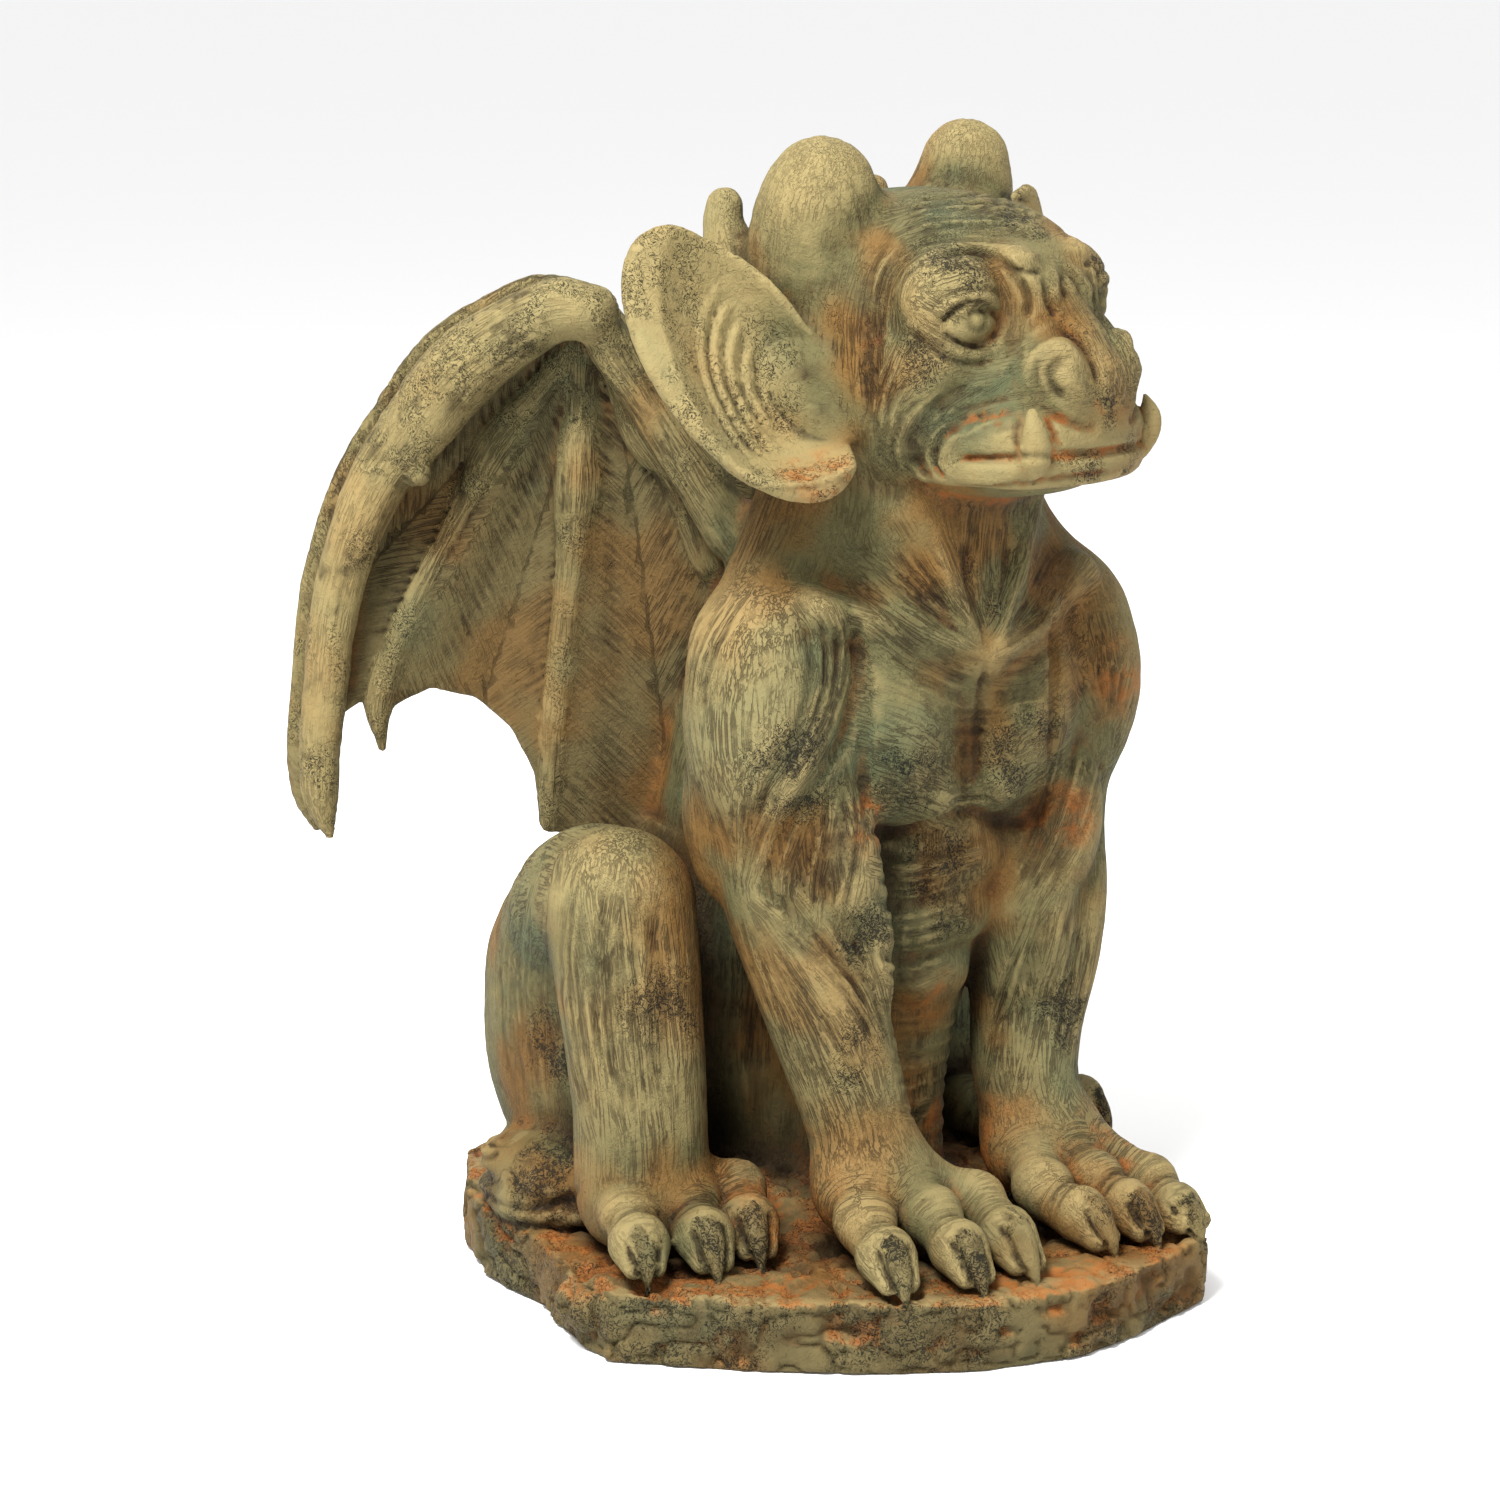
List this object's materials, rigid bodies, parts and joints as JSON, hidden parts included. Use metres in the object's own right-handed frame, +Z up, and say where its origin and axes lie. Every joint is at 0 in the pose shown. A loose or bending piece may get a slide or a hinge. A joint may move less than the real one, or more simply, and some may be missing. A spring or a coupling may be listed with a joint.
{
  "type": "gargoyle statue",
  "caption": "Seated winged gargoyle with bat ears, stub horns and tusks, cast in one piece with its irregular rocky base.",
  "frame": {"origin": "centre of the footprint, on the surface that the base stands on", "axes": "+Z up, -Y the way the chest faces, +X to the figure's left"},
  "size_m": [0.4067, 0.3949, 0.5563],
  "materials": {
    "aged_cast_stone": "matt aged cast stone, sage green and cream with rust washes and dark crackle"
  },
  "bodies": {
    "root": {"gargoyle_statue": "aged_cast_stone"}
  },
  "joints": []
}
